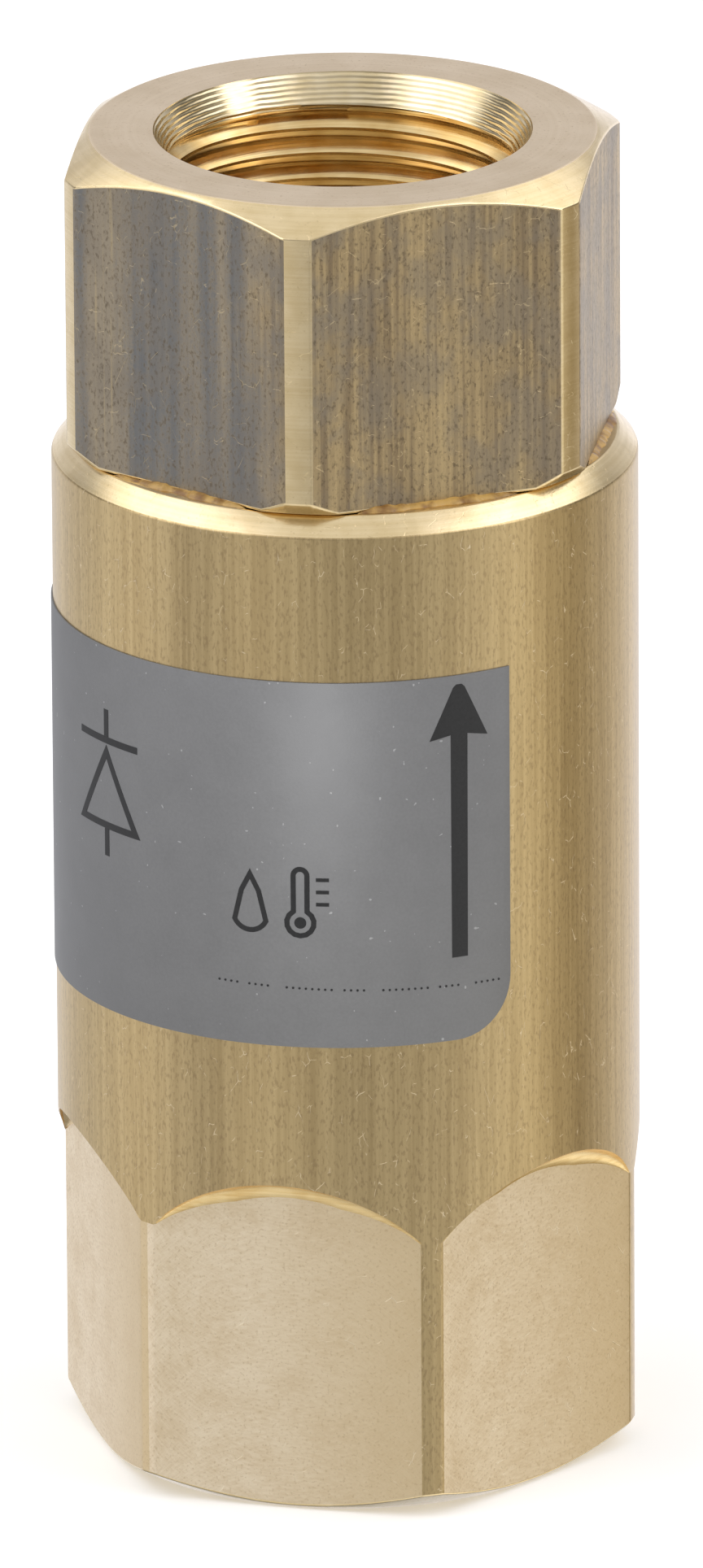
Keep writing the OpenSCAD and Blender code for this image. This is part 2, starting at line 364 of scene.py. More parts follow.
def milled_brass(start):
    """A wrench flat: pale, with faint arcs that the cutter's teeth left, front and back."""
    x, y, z, radius = parts(start)
    bearing = start.math("ARCTAN2", x, y * -1)
    off = start.math("WRAP", bearing, math.radians(30), math.radians(-30))
    along = radius * start.math("SINE", off)
    reach = start.math("SQRT", start.math("MAXIMUM", (CUTTER_R / MM) ** 2 - along * along, 0.1))
    leading = grain(start, (z - reach) * 5.5, bearing * 3, along * 1.6, detail=3)
    trailing = grain(start, (z + reach) * 5.5, bearing * 3 + 9, along * 1.6, detail=3)
    cloud = grain(start, x * 0.35, y * 0.35, z * 0.35)
    grit = grain(start, x * 4.5, y * 4.5, z * 4.5, detail=3)
    marks = scratches(start, x * 0.5, y * 0.5, z * 0.5, 0.3)
    hatch = leading * cloud + trailing * (1 - cloud)
    tone = between(hatch * 0.6 + cloud * 0.4, 0.33, 0.66)
    colour = mixed(tone, (0.84, 0.68, 0.46), (0.98, 0.84, 0.63))
    # each flat is painted darker and deeper yellow towards one side: a painted shade for the light
    # falling off across it
    painted_shade_side = between(along + cloud * 5, -2.0, 14.0)
    colour = mixed(painted_shade_side * 0.7, colour, (0.74, 0.57, 0.32))
    colour = mixed(between(grit, 0.54, 0.7) * 0.4, colour, (0.60, 0.44, 0.24))
    colour = mixed(marks * 0.5, colour, (0.97, 0.86, 0.66))
    return {"Base Color": colour, "Metallic": 1.0, "Roughness": 0.40 + hatch * 0.12,
            "Normal": bumped(hatch * 0.6 + grit * 0.4 - marks * 0.6, 0.018)}


def bored_brass(start):
    """Bores, passages and threads: cut metal that keeps a deeper, redder yellow."""
    x, y, z, radius = parts(start)
    rings = grain(start, radius * 2, z * 6, 0.5, detail=2)
    cloud = grain(start, x * 0.4, y * 0.4, z * 0.4)
    colour = mixed(between(rings * 0.4 + cloud * 0.6, 0.3, 0.7), (0.66, 0.44, 0.17), (0.88, 0.68, 0.36))
    return {"Base Color": colour, "Metallic": 1.0, "Roughness": 0.14 + cloud * 0.10,
            "Normal": bumped(rings, 0.008)}


def countersunk_brass(start):
    """The bevel of a port's mouth: bright, with the round ridges that a chattering cutter leaves."""
    x, y, z, radius = parts(start)
    drift = grain(start, x * 0.5, y * 0.5, z * 0.5) * 2.5
    ridges = start.math("SINE", z * (math.tau / RIDGE_PITCH) + drift) * 0.5 + 0.5
    rings = grain(start, radius * 6, z * 6, 0.5, detail=2)
    cloud = grain(start, x * 0.6, y * 0.6, z * 0.6)
    colour = mixed(between(rings * 0.4 + cloud * 0.6, 0.3, 0.7), (0.80, 0.64, 0.37), (0.93, 0.79, 0.54))
    return {"Base Color": colour, "Metallic": 1.0, "Roughness": 0.14 + cloud * 0.10,
            "Normal": bumped(ridges * 0.8 + rings * 0.2, 0.03)}


brass_drawn = made_of("brass_drawn", drawn_brass)
brass_turned = made_of("brass_turned", turned_brass)
brass_milled = made_of("brass_milled", milled_brass)
brass_bored = made_of("brass_bored", bored_brass)
brass_shaved = made_of("brass_shaved", shaved_brass)
brass_countersunk = made_of("brass_countersunk", countersunk_brass)
DRAWN, TURNED, MILLED, BORED, SHAVED, SUNK = range(6)
DRESSED_CORNER = -30                    # bearing of the one corner between flats that was filed

BODY_BEVEL = 1.35 * MM
NOSE_STEPS = 6
FLAT_EDGE = math.degrees(math.acos(FLAT_R / BODY_R))


def arc_height(sideways):
    """Top of a milled flat at a distance sideways from its middle."""
    return FLAT_TOP - CUTTER_R + math.sqrt(CUTTER_R ** 2 - sideways ** 2)


def body_column(bearing):
    off = math.radians((bearing + 30) % 60 - 30)
    turn = bearing / 360
    edge = math.radians(FLAT_EDGE)
    held = max(-edge, min(edge, off))
    flat = FLAT_R / math.cos(off) if abs(off) < edge else BODY_R
    corner_z = (flat - NUT_FACE_R) * NUT_SLOPE
    inner_z = arc_height(FLAT_R * math.tan(held))
    outer_z = arc_height(BODY_R * math.sin(held))
    nose = min(CUTTER_NOSE, 0.8 * (BODY_R - flat))
    corner = []
    for step in range(NOSE_STEPS + 1):
        t = math.radians(90 * step / NOSE_STEPS)
        corner.append((flat + nose * (1 - math.cos(t)), inner_z - nose * (1 - math.sin(t))))
    low = eased([(MOUTH_R, 0), (NUT_FACE_R, 0), (flat, corner_z), corner[0]])
    high = eased([
        corner[-1], (BODY_R, outer_z), (BODY_R, BODY_TOP - BODY_BEVEL),
        (BODY_R - BODY_BEVEL, BODY_TOP), (CAP_THREAD_R + THREAD_GAP, BODY_TOP)])
    wall = []
    for z in thread_heights(turn, CAP_THREAD_LOW, BODY_TOP - 0.3 * MM, CAP_PITCH):
        fade = min(1, max(0, (BODY_TOP - RUN_OUT - z) / CAP_PITCH))
        wall.append((CAP_THREAD_R + THREAD_GAP - CAP_CUT * fade * cut_depth(z / CAP_PITCH - turn), z))
    inside = eased([
        (CHAMBER_R + 1.4 * MM, CAP_THREAD_LOW - 0.1 * MM), (CHAMBER_R, CHAMBER_TOP),
        (CHAMBER_R, PASSAGE_TOP), (SEAT_R, PASSAGE_TOP),
        (SEAT_R, PORT_DEPTH + (PORT_END_R - SEAT_R) * DRILL_SLOPE), (PORT_END_R, PORT_DEPTH)])[:-1]
    mouth, inlet = port(turn, 0, 1)
    return [("end", low[:2]), ("nut", low[2:4]), ("flat", low[4:-1]), ("nose", corner),
            ("nose", high[1:2]), ("bar", high[2:4]), ("shoulder", high[4:]),
            ("bored", wall[::-1]), ("bored", inside), ("port", inlet), ("mouth", mouth)]


def body_finish(tag, bearing):
    off = abs((bearing + 30) % 60 - 30)
    if tag == "nose":
        return BORED if off < FLAT_EDGE else DRAWN
    if tag == "flat":
        dressed = abs((bearing - DRESSED_CORNER + 180) % 360 - 180) < 5
        return MILLED if off < FLAT_EDGE or dressed else DRAWN
    finishes = {"end": TURNED, "nut": SHAVED, "bar": DRAWN, "shoulder": SHAVED, "mouth": SUNK}
    return finishes.get(tag, BORED)


body = swept("body_shell", 0, FLAT_EDGE, body_column, body_finish,
             [brass_drawn, brass_turned, brass_milled, brass_bored, brass_shaved, brass_countersunk])
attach(body, "valve")
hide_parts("body")


# ---- Outlet cap -----------------------------------------------------------------------
# Drawn hexagon bar, turned down to a threaded spigot that screws into the body, with the
# outlet port in its other end. Its corners and both ends are turned, its flats are as drawn.

HEX_CLOCK = 4.4                         # bearing of one corner of the hexagon
HEX_CORNER_R = 20.25 * MM
HEX_LOW = BODY_TOP + 0.05 * MM
UNDER_BEVEL = 0.85 * MM
OUTLET_R = 10.5 * MM
NOSE_R = 14.95 * MM
GROOVE_R = 12.9 * MM
GROOVE_LOW = 56.5 * MM
GROOVE_HIGH = 60.3 * MM
RELIEF_R = 15.6 * MM
CAP_THREAD_TOP = 71.7 * MM
HEX_EDGE = math.degrees(math.acos(FLAT_R / HEX_CORNER_R))

cap_low, cap_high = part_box("outlet_cap")
CAP_TOP = cap_high.z
NOSE_LOW = cap_low.z


def cap_column(bearing):
    off = math.radians((bearing - HEX_CLOCK) % 60 - 30)
    turn = bearing / 360
    flat = min(FLAT_R / math.cos(off), HEX_CORNER_R)
    under_r = HEX_CORNER_R - UNDER_BEVEL
    under_z = HEX_LOW + max(0, flat - under_r)
    nose = eased([
        (OUTLET_R, NOSE_LOW), (NOSE_R, NOSE_LOW), (NOSE_R, GROOVE_LOW), (GROOVE_R, GROOVE_LOW),
        (GROOVE_R, GROOVE_HIGH), (NOSE_R, GROOVE_HIGH), (NOSE_R, CHAMBER_TOP),
        (CAP_THREAD_R - CAP_CUT, CHAMBER_TOP + 0.3 * MM)])
    spigot = []
    for z in thread_heights(turn, CAP_THREAD_LOW, CAP_THREAD_TOP, CAP_PITCH):
        spigot.append((CAP_THREAD_R - CAP_CUT * cut_depth(z / CAP_PITCH - turn), z))
    relief = [(RELIEF_R, CAP_THREAD_TOP + 0.4 * MM), (RELIEF_R, HEX_LOW)]
    hexagon = eased([
        (RELIEF_R, HEX_LOW), (min(under_r, flat - EDGE), HEX_LOW), (flat, under_z + EDGE),
        (flat, CAP_TOP - (flat - NUT_FACE_R) * NUT_SLOPE), (NUT_FACE_R, CAP_TOP),
        (MOUTH_R + EDGE, CAP_TOP)])[1:]
    mouth, outlet = port(turn, CAP_TOP, -1)
    way = eased([
        (PORT_END_R, CAP_TOP - PORT_DEPTH),
        (OUTLET_R, CAP_TOP - PORT_DEPTH - (PORT_END_R - OUTLET_R) * DRILL_SLOPE),
        (OUTLET_R, NOSE_LOW)])[1:-1]
    return [("bored", nose), ("bored", spigot), ("bored", relief), ("under", hexagon[:3]),
            ("flat", hexagon[3:4]), ("crown", hexagon[4:6]), ("face", hexagon[6:]),
            ("mouth", mouth), ("port", outlet), ("port", way)]


def cap_finish(tag, bearing):
    off = abs(bearing % 60 - 30)
    if tag == "flat":
        return DRAWN if off < HEX_EDGE else SHAVED
    return {"under": SHAVED, "crown": SHAVED, "face": TURNED, "mouth": SUNK}.get(tag, BORED)


def hexagon_brass(start):
    """The drawn skin of hexagon bar: dull, streaked along the bar, darker in blotches, and dark
    slate-blue towards -X.
    """
    x, y, z, _ = parts(start)
    wide = grain(start, x * 0.42 + 7, y * 0.42, z * 0.02, detail=2)
    fine = grain(start, x * 3.0, y * 3.0, z * 0.06, detail=3)
    cloud = grain(start, x * 0.25, y * 0.25, z * 0.2 + 3, detail=4, roughness=0.6)
    grit = grain(start, x * 4.2, y * 4.2, z * 2.6, detail=4, roughness=0.65)
    marks = scratches(start, x * 0.7, y * 0.7, z * 0.5, 0.7)
    line = fine * 0.6 + wide * 0.4
    colour = mixed(between(line, 0.32, 0.66), (0.29, 0.215, 0.13), (0.58, 0.435, 0.235))
    # the side towards -X goes dark and slate-blue
    slate = between(x * -1 + cloud * 16, 2.0, 12.0)
    blue = mixed(between(wide * 0.7 + grit * 0.3, 0.38, 0.6), (0.19, 0.205, 0.22), (0.37, 0.32, 0.25))
    colour = mixed(slate * 0.85, colour, blue)
    colour = mixed(between(cloud, 0.42, 0.62) * 0.5, colour, (0.29, 0.25, 0.20))
    colour = mixed(between(grit, 0.5, 0.68) * 0.6, colour, (0.13, 0.10, 0.065))
    colour = mixed(between(line, 0.6, 0.72) * 0.45, colour, (0.70, 0.54, 0.28))
    colour = mixed(marks * 0.35, colour, (0.85, 0.68, 0.40))
    return {"Base Color": colour, "Metallic": 1.0, "Roughness": 0.32 + grit * 0.16,
            "Normal": bumped(line * 0.5 + grit * 0.5 - marks * 0.4, 0.03)}


brass_hexagon = made_of("brass_hexagon", hexagon_brass)
cap = swept("cap_shell", HEX_CLOCK + 30, HEX_EDGE, cap_column,
            lambda tag, bearing: cap_finish(tag, bearing + 30),
            [brass_hexagon, brass_turned, brass_milled, brass_bored, brass_shaved, brass_countersunk])
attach(cap, "valve")
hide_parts("outlet_cap")


# ---- Sealant --------------------------------------------------------------------------
# Thread sealant that was squeezed out as the cap was tightened, and set as a low uneven
# bead in the corner between each flat of the cap and the top of the body.

BEAD_W = 0.6 * MM
BEAD_H = 0.4 * MM
BEAD_STEPS = 90
BEAD_PROFILE = ((-0.1, 0), (1, 0), (0.82, 0.3), (0.5, 0.62), (0.2, 0.9), (-0.1, 1))


def set_resin(start):
    """Golden brown resin, glossy where it ran and dull where dust stuck."""
    x, y, z, _ = parts(start)
    cloud = grain(start, x * 0.9, y * 0.9, z * 0.9, detail=3)
    colour = mixed(between(cloud, 0.3, 0.7), (0.24, 0.11, 0.02), (0.62, 0.38, 0.10))
    return {"Base Color": colour, "Roughness": 0.28 + cloud * 0.3, "Coat Weight": cloud * 0.6,
            "Normal": bumped(cloud, 0.05)}


def bead_skin():
    """Six beads, one along the foot of each flat, thinning out towards the corners."""
    skin = bmesh.new()
    top_r = BODY_R - BODY_BEVEL - 0.1 * MM
    reach = math.degrees(math.acos(FLAT_R / top_r))
    for side in range(6):
        rings = []
        for step in range(BEAD_STEPS + 1):
            off = math.radians(reach * (2 * step / BEAD_STEPS - 1))
            angle = math.radians(HEX_CLOCK + 30 + 60 * side) + off
            wall = FLAT_R / math.cos(off)
            place = Vector((math.sin(angle), math.cos(angle), 0.3))
            lump = 0.8 + 0.5 * noise.noise(place * 7) + 0.35 * noise.noise(place * 31)
            thin = (1 - (2 * step / BEAD_STEPS - 1) ** 6) * lump
            width = min(BEAD_W * lump, (top_r - wall) * 0.98)
            ring = []
            for out, up in BEAD_PROFILE:
                r = wall + width * out
                z = BODY_TOP + BEAD_H * thin * up
                ring.append(skin.verts.new((r * math.sin(angle), -r * math.cos(angle), z)))
            rings.append(ring)
        count = len(BEAD_PROFILE)
        for one, two in zip(rings, rings[1:]):
            for i in range(count):
                n = (i + 1) % count
                skin.faces.new((one[i], two[i], two[n], one[n]))
        skin.faces.new(rings[0])
        skin.faces.new(rings[-1][::-1])
    bmesh.ops.remove_doubles(skin, verts=skin.verts, dist=1e-6)
    bmesh.ops.recalc_face_normals(skin, faces=skin.faces)
    return skin


sealant = finished("sealant_bead", bead_skin(), [made_of("resin", set_resin)], crease=70)
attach(sealant, "valve")
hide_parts("thread_sealant")


# ---- Label ----------------------------------------------------------------------------
# Grey vinyl, die-cut with its lower corners round, and stuck round the body by hand, not
# quite square. It is thin, so the body's curve is the label's curve.

label_low, label_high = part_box("label")
LABEL_T = 0.12 * MM
LABEL_R = BODY_R + 0.004 * MM
LABEL_OUT = LABEL_R + LABEL_T
LABEL_END = 47                          # bearing of its right-hand end
LABEL_ARC = 163                         # and how many degrees it goes round from there
LABEL_ROUND = 4.2
LABEL_TILT = math.tan(math.radians(0.3))
SLICE = 0.6                             # width in millimetres of the facets it is bent in


def wrapped(name, outlines, radius, thickness, materials, rim=0.0):
    """Flat shapes laid round the body. Each outline is a loop of (along, up) in millimetres, or
    a pair of such loops for a shape with a hole. along is measured round from the front flat."""
    skin = bmesh.new()
    for outline in outlines:
        if isinstance(outline[0][0], tuple):
            outer, inner = ([skin.verts.new((a, u, 0)) for a, u in loop] for loop in outline)
            for i in range(len(outer)):
                n = (i + 1) % len(outer)
                skin.faces.new((outer[i], outer[n], inner[n], inner[i]))
        else:
            skin.faces.new([skin.verts.new((a, u, 0)) for a, u in outline])
    lowest = min(v.co.x for v in skin.verts)
    highest = max(v.co.x for v in skin.verts)
    cut = math.ceil(lowest / SLICE) * SLICE
    while cut < highest:
        everything = [*skin.verts, *skin.edges, *skin.faces]
        bmesh.ops.bisect_plane(skin, geom=everything, dist=1e-4,
                               plane_co=(cut, 0, 0), plane_no=(1, 0, 0))
        cut += SLICE
    bmesh.ops.recalc_face_normals(skin, faces=skin.faces)
    for face in skin.faces:
        if face.normal.z > 0:
            face.normal_flip()
    sheet = list(skin.faces)
    grown = bmesh.ops.extrude_face_region(skin, geom=sheet, use_keep_orig=True)["geom"]
    raised = {v for v in grown if isinstance(v, bmesh.types.BMVert)}
    for v in skin.verts:
        r = radius + (thickness if v in raised else 0)
        angle = v.co.x * MM / BODY_R
        up = v.co.y * MM + v.co.x * MM * LABEL_TILT
        v.co = (r * math.sin(angle), -r * math.cos(angle), up)
    bmesh.ops.recalc_face_normals(skin, faces=skin.faces)
    if rim:
        lines = [e for e in skin.edges if e.verts[0] in raised and e.verts[1] in raised
                 and e.calc_face_angle(0) > 1]
        bmesh.ops.bevel(skin, geom=lines, offset=rim, segments=2, affect="EDGES", profile=0.5)
    return finished(name, skin, materials)


def arc(middle, radius, start, end, steps=12):
    """Points on an arc in the label's own plane, from one bearing to another in degrees."""
    angles = [math.radians(start + (end - start) * i / steps) for i in range(steps + 1)]
    return [(middle[0] + radius * math.cos(t), middle[1] + radius * math.sin(t)) for t in angles]


def grey_vinyl(start):
    """Matt metallic-grey vinyl with a faint sparkle and a few rubbed specks."""
    x, y, z, _ = parts(start)
    fleck = grain(start, x * 5, y * 5, z * 5, detail=3)
    cloud = grain(start, x * 0.35, y * 0.35, z * 0.35)
    speck = between(grain(start, x * 3.2, y * 3.2, z * 3.2, detail=0), 0.84, 0.87)
    colour = mixed(fleck * 0.6 + cloud * 0.4, (0.168, 0.168, 0.17), (0.245, 0.245, 0.248))
    colour = mixed(speck * 0.5, colour, (0.55, 0.55, 0.55))
    return {"Base Color": colour, "Metallic": 0.5, "Roughness": 0.46 + fleck * 0.12,
            "Normal": bumped(fleck, 0.006)}


per_degree = BODY_R / MM * math.pi / 180
label_left = (LABEL_END - LABEL_ARC) * per_degree
label_right = LABEL_END * per_degree
low_z, high_z = label_low.z / MM, label_high.z / MM
label_outline = (
    arc((label_left + LABEL_ROUND, low_z + LABEL_ROUND), LABEL_ROUND, 180, 270)
    + arc((label_right - LABEL_ROUND, low_z + LABEL_ROUND), LABEL_ROUND, 270, 360)
    + [(label_right, high_z), (label_left, high_z)])
label = wrapped("label_sheet", [label_outline], LABEL_R, LABEL_T,
                [made_of("vinyl", grey_vinyl)], rim=0.04 * MM)
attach(label, "valve")
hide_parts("label")


# ---- Print on the label -----------------------------------------------------------------
# Screen-printed ink: an arrow in the direction of flow, and plain drawn symbols for a
# non-return valve, for water and for its temperature. A row of dots is the die-cutter's guide.

INK_T = 0.02 * MM
ARROW_AT = 35.9                         # bearings of the symbols round the body
VALVE_AT = -40.5
DROP_AT = -5.5
THERMOMETER_AT = 4.5
VALVE_UP = 51.4                         # and their heights on the valve
DROP_UP = 43.6
THERMOMETER_UP = 43.4
DOTS_UP = 39.7
DOT_R = 0.09
DOT_PITCH = 1.25
BAR_W = 0.5                             # widths of the symbols' lines
THIN_W = 0.36
CLEAR = 0.02                            # keeps two bars apart, so that each is a closed solid
ARROW = ((-0.58, 0), (0.58, 0), (0.62, 16.3), (2.15, 16.0), (0.42, 19.75), (0.2, 19.95),
         (-0.2, 19.95), (-0.42, 19.75), (-2.15, 16.0), (-0.62, 16.3))
ARROW_Z = 41.3


def black_ink(start):
    """Solid black screen ink, slightly uneven where it sits on the vinyl."""
    x, y, z, _ = parts(start)
    patch = grain(start, x * 5, y * 5, z * 5, detail=2)
    return {"Base Color": mixed(patch, (0.010, 0.010, 0.011), (0.030, 0.030, 0.031)),
            "Roughness": 0.45 + patch * 0.2, "Normal": bumped(patch, 0.004)}


def placed(outline, at, up):
    """An outline in millimetres moved to a bearing on the body and a height on the valve."""
    return [(a + at * per_degree, u + up) for a, u in outline]


def stroked(outline, width):
    """A closed outline as a pair of loops, half the line's width outside and inside it."""
    sides = []
    for sign in (0.5, -0.5):
        loop = []
        count = len(outline)
        for i in range(count):
            before, here, after = (Vector(outline[(i + k) % count]) for k in (-1, 0, 1))
            one, two = (here - before).normalized(), (after - here).normalized()
            normal = Vector((one.y + two.y, -one.x - two.x)).normalized()
            reach = sign * width / max(0.35, normal.dot(Vector((one.y, -one.x))))
            loop.append(tuple(here + normal * reach))
        sides.append(loop)
    return sides


def bar(a, u, width, height):
    return [(a, u), (a + width, u), (a + width, u + height), (a, u + height)]


def printed(name, outlines):
    ink = wrapped(name, outlines, LABEL_OUT, INK_T, [ink_black])
    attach(ink, "valve")


ink_black = made_of("ink_black", black_ink)
printed("print_arrow", [placed(ARROW, ARROW_AT, ARROW_Z)])

seat_line = 3.4
triangle = stroked([(-3.1, -2.6), (3.1, -2.6), (0, 2.8)], BAR_W)
printed("print_valve_symbol", [
    [placed(loop, VALVE_AT, VALVE_UP) for loop in triangle],
    placed(bar(-3.3, seat_line, 6.6, BAR_W), VALVE_AT, VALVE_UP),
    placed(bar(-BAR_W / 2, seat_line + BAR_W + CLEAR, BAR_W, 1.98), VALVE_AT, VALVE_UP),
    placed(bar(-BAR_W / 2, -4.85, BAR_W, 1.98), VALVE_AT, VALVE_UP)])

drop = arc((0, 1.25), 1.25, 205, 335) + [(0.62, 2.9), (0, 4.1), (-0.62, 2.9)]
printed("print_drop", [[placed(loop, DROP_AT, DROP_UP) for loop in stroked(drop, THIN_W)]])

glass = arc((0, 0.95), 0.95, 120, 420) + arc((0, 4.4), 0.48, 0, 180)
bulb = arc((0, 0.95), 0.42, 0, 345, 23)
ticks = [bar(1.1, 2.2 + 0.9 * i, 0.9, 0.26) for i in range(3)]
printed("print_thermometer", [
    [placed(loop, THERMOMETER_AT, THERMOMETER_UP) for loop in stroked(glass, THIN_W)],
    *(placed(shape, THERMOMETER_AT, THERMOMETER_UP) for shape in (bulb, *ticks))])

dots = []
for i in range(46):
    if i % 15 not in (4, 9, 10):
        dots.append(placed(arc((0, 0), DOT_R, 0, 300, 5), -12 + i * DOT_PITCH, DOTS_UP - 0.012 * i))
printed("print_dots", dots)


# ---- Cap seals --------------------------------------------------------------------------
# A moulded nitrile O-ring in the groove round the cap's nose, and behind it a turned PTFE
# ring that stops it being pressed out through the gap.

def tidy_edges(node, width):
    """Breaks a turned part's edges: flat facets are joined first, so that the cut runs clean."""
    piece = nodes[node]
    weld = piece.modifiers.new("weld", "WELD")
    weld.merge_threshold = 0.002 * MM
    join = piece.modifiers.new("join", "DECIMATE")
    join.decimate_type = "DISSOLVE"
    join.angle_limit = math.radians(0.5)
    cut = piece.modifiers.new("edges", "BEVEL")
    cut.width = width
    cut.segments = 2
    cut.limit_method = "ANGLE"
    cut.angle_limit = math.radians(40)
    cut.harden_normals = True
    for face in piece.data.polygons:
        face.use_smooth = True


def crisp_edges(node):
    """Leaves a part's edges sharp and shades the surfaces between them smoothly."""
    piece = nodes[node]
    weld = piece.modifiers.new("weld", "WELD")
    weld.merge_threshold = 0.002 * MM
    split = piece.modifiers.new("edges", "EDGE_SPLIT")
    split.split_angle = math.radians(30)
    for face in piece.data.polygons:
        face.use_smooth = True


def finish_as(node, material, width=EDGE):
    """Gives a part from the frame its finish, and broken edges where it has any."""
    piece = nodes[node]
    piece.data.materials.clear()
    piece.data.materials.append(material)
    if width:
        tidy_edges(node, width)


def nitrile(start):
    """Moulded black rubber, with a bloom of grease."""
    x, y, z, _ = parts(start)
    cloud = grain(start, x * 1.2, y * 1.2, z * 1.2, detail=3)
    return {"Base Color": mixed(cloud, (0.014, 0.014, 0.015), (0.045, 0.044, 0.042)),
            "Roughness": 0.38 + cloud * 0.3, "Normal": bumped(cloud, 0.02)}


def turned_ptfe(start):
    """White PTFE with the waxy rings of a lathe tool."""
    _, _, z, radius = parts(start)
    rings = grain(start, radius * 6, z * 6, 0.5, detail=2)
    return {"Base Color": mixed(rings, (0.80, 0.79, 0.74), (0.92, 0.91, 0.88)),
            "Roughness": 0.42 + rings * 0.15, "Normal": bumped(rings, 0.01)}


rubber = made_of("rubber", nitrile)
ptfe = made_of("ptfe", turned_ptfe)
finish_as("cap_o_ring", rubber, width=0)
finish_as("cap_backup_ring", ptfe)


# ---- Seat ring --------------------------------------------------------------------------
# Turned from stainless bar, with a raised lip that the poppet's seal closes on, and its own
# O-ring and PTFE ring in a groove round it. A drawn sleeve holds it down in its chamber.

def turned_steel(start):
    """Stainless steel from the lathe, with rings too fine to feel."""
    x, y, z, radius = parts(start)
    rings = grain(start, radius * 7, z * 7, 0.5, detail=3)
    cloud = grain(start, x * 0.4, y * 0.4, z * 0.4)
    return {"Base Color": mixed(rings * 0.5 + cloud * 0.5, (0.50, 0.50, 0.49), (0.72, 0.715, 0.70)),
            "Metallic": 1.0, "Roughness": 0.22 + rings * 0.16, "Normal": bumped(rings, 0.006)}


steel = made_of("steel_turned", turned_steel)
finish_as("seat_ring", steel)
finish_as("spacer_sleeve", steel, 0.08 * MM)
finish_as("seat_o_ring", rubber, width=0)
finish_as("seat_backup_ring", ptfe)


# ---- Stem guide -------------------------------------------------------------------------
# A stainless spider between the sleeve and the cap's nose. An acetal bush pressed into its
# hub carries the poppet's stem, and a thin washer under the hub takes the spring.

def acetal(start):
    """Natural acetal, turned: ivory, smooth and slightly translucent-looking."""
    _, _, z, radius = parts(start)
    rings = grain(start, radius * 5, z * 5, 0.5, detail=2)
    return {"Base Color": mixed(rings, (0.72, 0.63, 0.44), (0.84, 0.77, 0.60)),
            "Roughness": 0.30 + rings * 0.15, "Coat Weight": 0.2, "Normal": bumped(rings, 0.008)}


finish_as("stem_guide", steel, width=0)
crisp_edges("stem_guide")               # milled windows: their edges stay as the cutter left them
finish_as("guide_bush", made_of("acetal_turned", acetal))
finish_as("spring_washer", steel, 0.08 * MM)


# ---- Spring -----------------------------------------------------------------------------
# Stainless spring wire, wound with a closed turn at each end, and both ends ground flat so
# that it stands square between the poppet's head and the washer.

WIRE_R = 0.5 * MM
COIL_R = 6.8 * MM
FREE_TURNS = 4
CLOSED_PITCH = 1.05 * MM
COIL_STEPS = 64
WIRE_SIDES = 14
GROUND = 0.3 * MM

spring_low, spring_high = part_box("spring")
lift = next(j for j in frame["joints"] if j["name"] == "poppet_lift")["range_m"][1]


def spring_wire(start):
    """Drawn stainless wire: straw-tinted by stress relief, with fine lines along it."""
    x, y, z, _ = parts(start)
    lines = grain(start, x * 2, y * 2, z * 9, detail=2)
    return {"Base Color": mixed(lines, (0.42, 0.39, 0.34), (0.66, 0.63, 0.57)), "Metallic": 1.0,
            "Roughness": 0.24 + lines * 0.15, "Normal": bumped(lines, 0.01)}


def coil_skin():
    """The wire as a tube swept up its helix, with both ends ground flat."""
    low, high = spring_low.z - GROUND, spring_high.z + GROUND
    free_pitch = (high - low - 2 * WIRE_R - 2 * CLOSED_PITCH) / FREE_TURNS
    skin = bmesh.new()
    rings = []
    for step in range((FREE_TURNS + 2) * COIL_STEPS + 1):
        t = step / COIL_STEPS
        middle = (low + WIRE_R + CLOSED_PITCH * (min(t, 1) + max(0, t - 1 - FREE_TURNS))
                  + free_pitch * max(0, min(t - 1, FREE_TURNS)))
        ring = []
        for side in range(WIRE_SIDES):
            w = math.tau * side / WIRE_SIDES
            r = COIL_R + WIRE_R * math.cos(w)
            z = min(max(middle + WIRE_R * math.sin(w), spring_low.z), spring_high.z)
            ring.append(skin.verts.new((r * math.cos(math.tau * t), r * math.sin(math.tau * t), z)))
        rings.append(ring)
    for one, two in zip(rings, rings[1:]):
        for i in range(WIRE_SIDES):
            n = (i + 1) % WIRE_SIDES
            skin.faces.new((one[i], two[i], two[n], one[n]))
    skin.faces.new(rings[0][::-1])
    skin.faces.new(rings[-1])
    bmesh.ops.recalc_face_normals(skin, faces=skin.faces)
    return skin


spring = finished("closing_spring", coil_skin(), [made_of("spring_wire", spring_wire)], crease=60)
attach(spring, "valve")
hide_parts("spring")
1 - lift / (spring_high.z - spring_low.z)
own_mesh(spring)


# ---- Poppet -----------------------------------------------------------------------------
# Turned brass: a head with a stem. Under the head a rubber ring is clamped by a stainless
# retainer, which a socket-head screw and its lock washer hold.

finish_as("poppet", brass_turned)
finish_as("poppet_seal", rubber)
for part in ("seal_retainer", "lock_washer", "retainer_screw"):
    finish_as(part, steel, 0.08 * MM)


# ---- Stage, lights and camera ----------------------------------------------------------
# A pale floor in a white tent, with cards hung round the valve for the brass to mirror, a soft
# lamp for the shadow and a small one for the label. Bearings are in degrees to the camera's right.

VIEW_BEARING = 13.7
VIEW_RISE = 19.256
CAMERA_FAR = 1724.2 * MM
CAMERA_LENS = 566.7
CAMERA_ROLL = -0.3575
AIM_HEIGHT = 47.43 * MM
AIM_SIDE = 0.32 * MM


